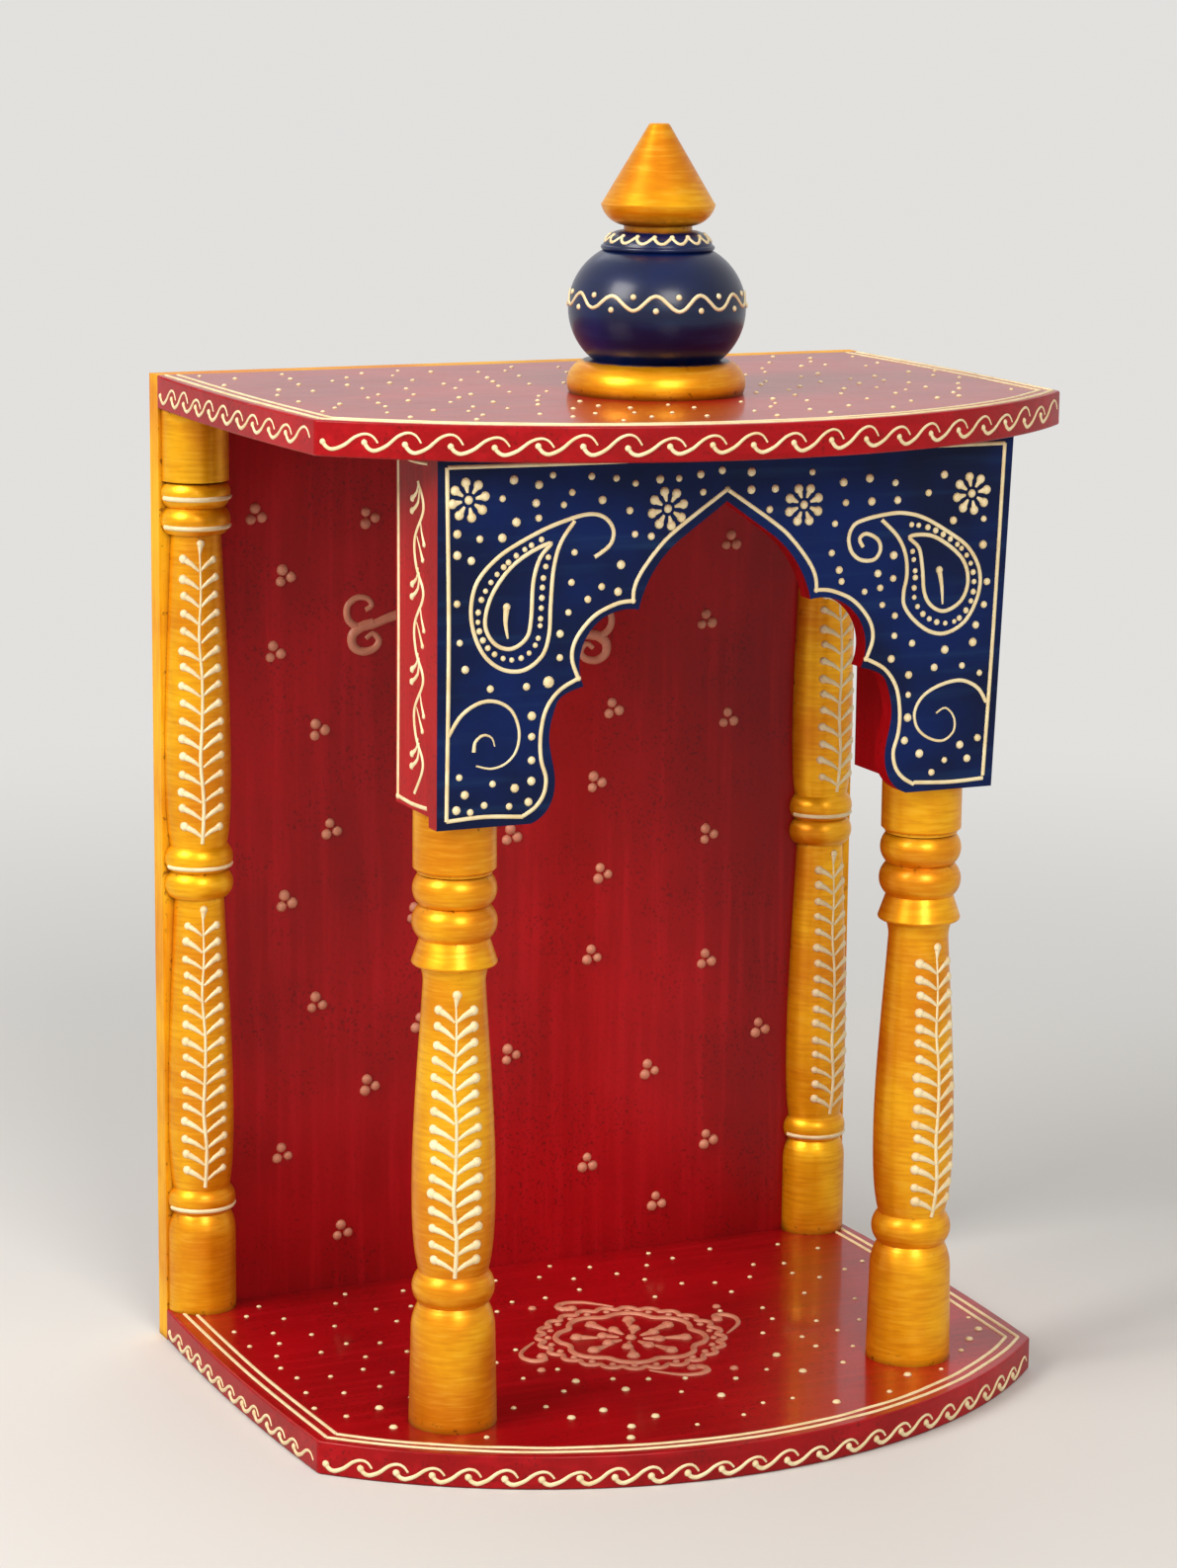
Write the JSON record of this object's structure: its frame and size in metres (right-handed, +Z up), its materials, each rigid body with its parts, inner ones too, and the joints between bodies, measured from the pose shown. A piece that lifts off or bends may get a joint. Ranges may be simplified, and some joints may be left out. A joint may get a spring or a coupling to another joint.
{
  "type": "household shrine",
  "caption": "Small painted wooden home shrine: bow-fronted base and top boards, back panel, turned columns, cusped arch board and a turned pot finial.",
  "frame": {"origin": "middle of the footprint, on the surface that the shrine stands on", "axes": "+Z up, -Y out of the open front, +X to the right of someone who faces the shrine"},
  "size_m": [0.2872, 0.221, 0.4533],
  "materials": {
    "red_paint": "crimson paint under gloss varnish, with cream cone-painted ornament",
    "blue_paint": "deep blue paint with brush marks, with cream cone-painted ornament",
    "gold_paint": "antique brushed gold paint, dark in the grooves",
    "cream_paint": "cream cone-painted ornament, raised and matt"
  },
  "bodies": {
    "root": {"base_board": "red_paint", "top_board": "red_paint", "back_panel": "red_paint", "arch_board": "blue_paint", "finial": "blue_paint", "corner_block_left": "red_paint", "corner_block_right": "red_paint", "front_column_left": "gold_paint", "front_column_right": "gold_paint", "back_column_left": "gold_paint", "back_column_right": "gold_paint"}
  },
  "joints": []
}
